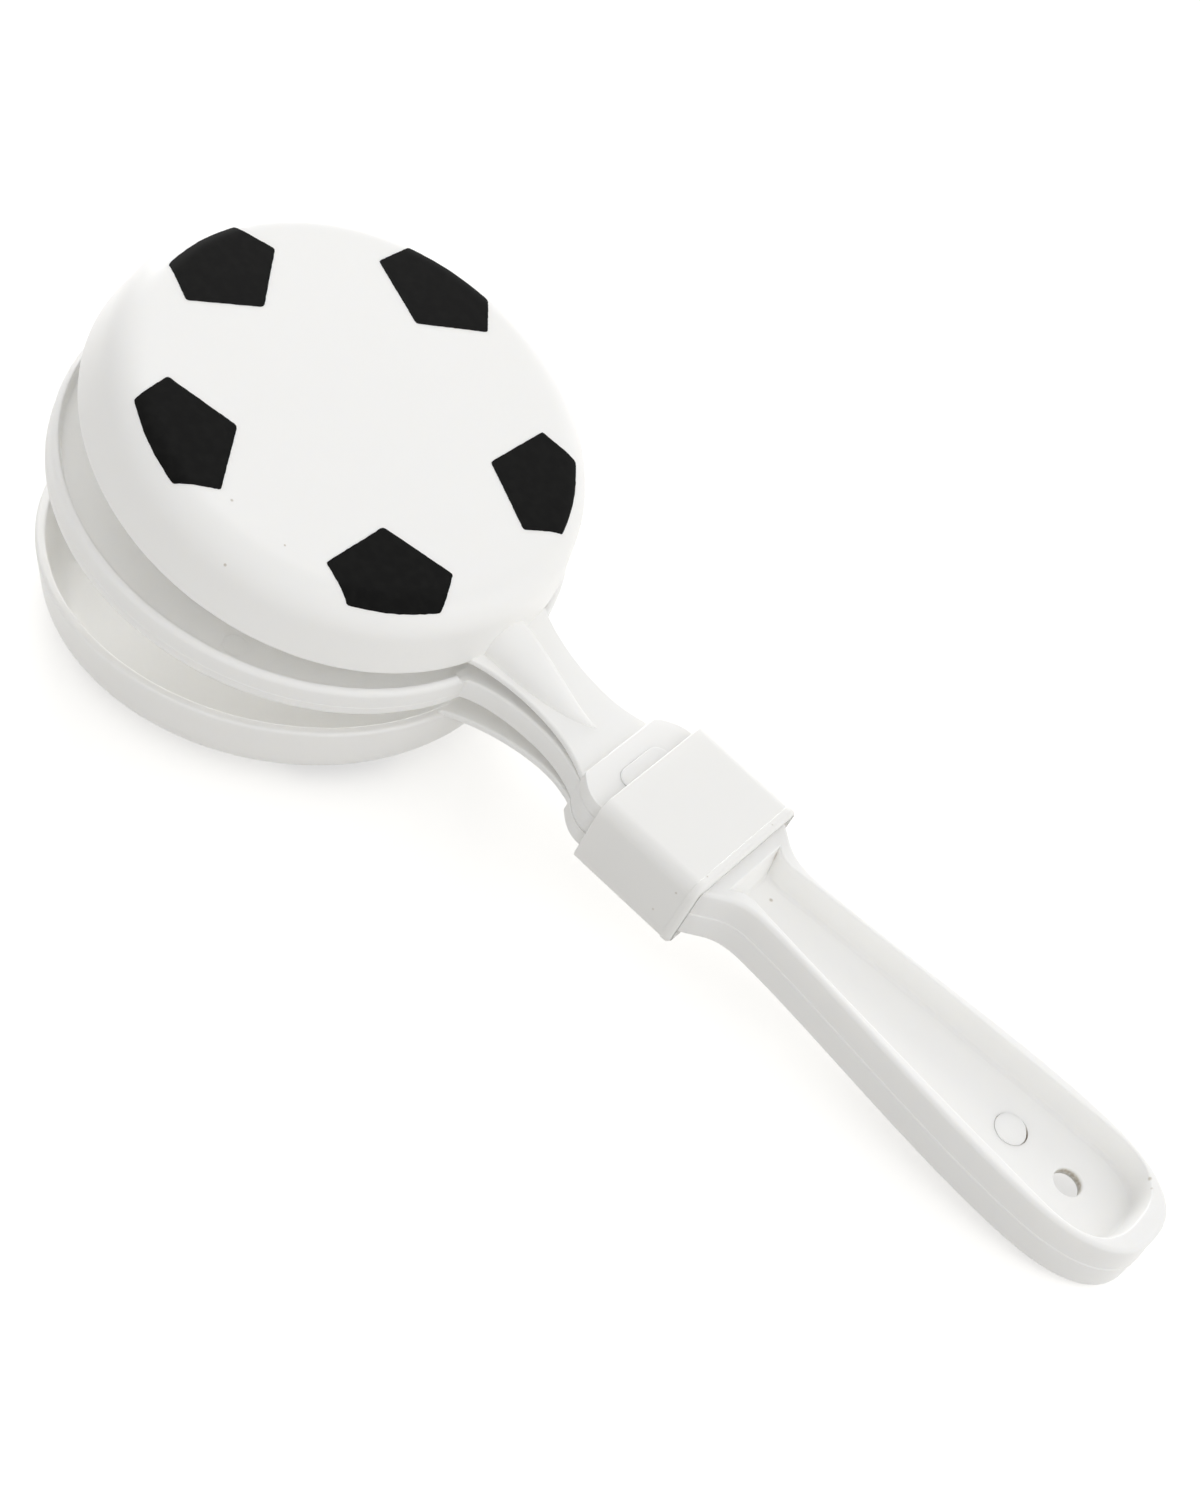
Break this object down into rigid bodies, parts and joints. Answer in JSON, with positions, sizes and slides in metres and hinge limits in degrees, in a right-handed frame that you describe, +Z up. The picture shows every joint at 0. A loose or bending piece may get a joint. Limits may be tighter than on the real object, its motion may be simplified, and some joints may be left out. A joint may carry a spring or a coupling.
{
  "type": "hand clapper",
  "caption": "Hand clapper: a flat grip carries a round paddle, and a shallow round cup on a flexing arm claps against each face; a square collar clamps both arms.",
  "frame": {"origin": "middle of the footprint of the clapper lying on a table, on the table's surface", "axes": "+X from the cups to the grip's end, +Y across, +Z up; the clapper leans on the lower cup's far edge and the grip's end"},
  "size_m": [0.1922, 0.0758, 0.0518],
  "materials": {
    "paddle_plastic": "satin moulded white",
    "cup_plastic": "satin moulded white",
    "collar_plastic": "satin moulded white",
    "print_ink": "matt black pad print"
  },
  "bodies": {
    "handle": {"paddle": "paddle_plastic", "collar": "collar_plastic", "upper_hinge_plate": "cup_plastic", "lower_hinge_plate": "cup_plastic"},
    "upper_clapper": {"upper_cup": "cup_plastic"},
    "lower_clapper": {"lower_cup": "cup_plastic"}
  },
  "joints": [
    {"name": "upper_arm_flex", "type": "hinge", "parent": "handle", "child": "upper_clapper", "pos_m": [-0.00055, 0, 0.01991], "axis": [0, 1, 0], "range_deg": [-6.3, 13.2], "stiffness_Nm_per_rad": 1},
    {"name": "lower_arm_flex", "type": "hinge", "parent": "handle", "child": "lower_clapper", "pos_m": [-0.00125, 0, 0.01445], "axis": [0, -1, 0], "range_deg": [-9.5, 10], "stiffness_Nm_per_rad": 1}
  ]
}
